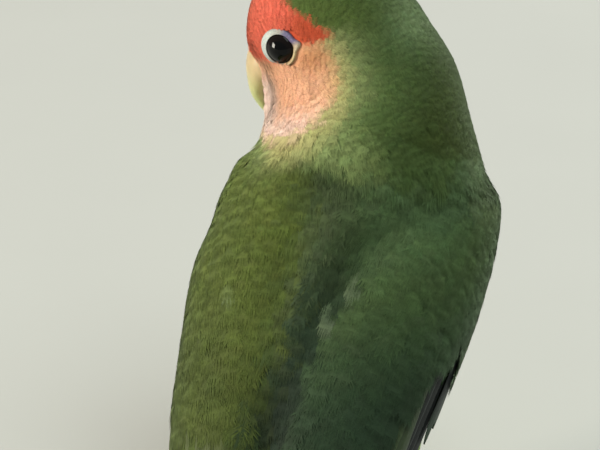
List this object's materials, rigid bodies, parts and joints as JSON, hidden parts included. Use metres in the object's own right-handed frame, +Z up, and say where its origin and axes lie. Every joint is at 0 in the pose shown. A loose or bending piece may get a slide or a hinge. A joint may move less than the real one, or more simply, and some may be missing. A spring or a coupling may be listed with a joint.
{
  "type": "peach faced lovebird",
  "caption": "Life-size still model of a small green parrot with a coral and peach face, standing on a floor and looking back over its left shoulder.",
  "frame": {"origin": "middle of the model's bounding box at floor level, under the bird", "axes": "+Z up, +Y the way the body faces, +X to the bird's right; the tail points to -Y and the head looks to -X"},
  "size_m": [0.0578, 0.1216, 0.1132],
  "materials": {
    "head_feathers": "soft matte plumage, coral red face and peach cheeks against a green crown",
    "neck_feathers": "soft loose plumage, yellowish green",
    "body_feathers": "soft matte plumage, leaf green, blue on the rump",
    "tail_feathers": "smooth vanes, green with orange and black bars on the outer feathers",
    "wing_feathers": "smooth overlapping vanes, green with blackish flight feathers",
    "thigh_feathers": "soft matte plumage, yellowish green",
    "foot_skin": "dry grey scaled skin",
    "bill_horn": "satin horn, cream with a greenish edge",
    "eyeball": "wet, glossy, very dark brown",
    "claw_horn": "satin dark grey horn"
  },
  "bodies": {
    "root": {"head": "head_feathers", "neck": "neck_feathers", "trunk": "body_feathers", "tail": "tail_feathers", "wing_left": "wing_feathers", "wing_right": "wing_feathers", "thigh_left": "thigh_feathers", "thigh_right": "thigh_feathers", "foot_left": "foot_skin", "foot_right": "foot_skin", "bill_upper": "bill_horn", "bill_lower": "bill_horn", "eye_left": "eyeball", "eye_right": "eyeball", "claw_left_1": "claw_horn", "claw_left_2": "claw_horn", "claw_left_3": "claw_horn", "claw_left_4": "claw_horn", "claw_right_1": "claw_horn", "claw_right_2": "claw_horn", "claw_right_3": "claw_horn", "claw_right_4": "claw_horn"}
  },
  "joints": []
}
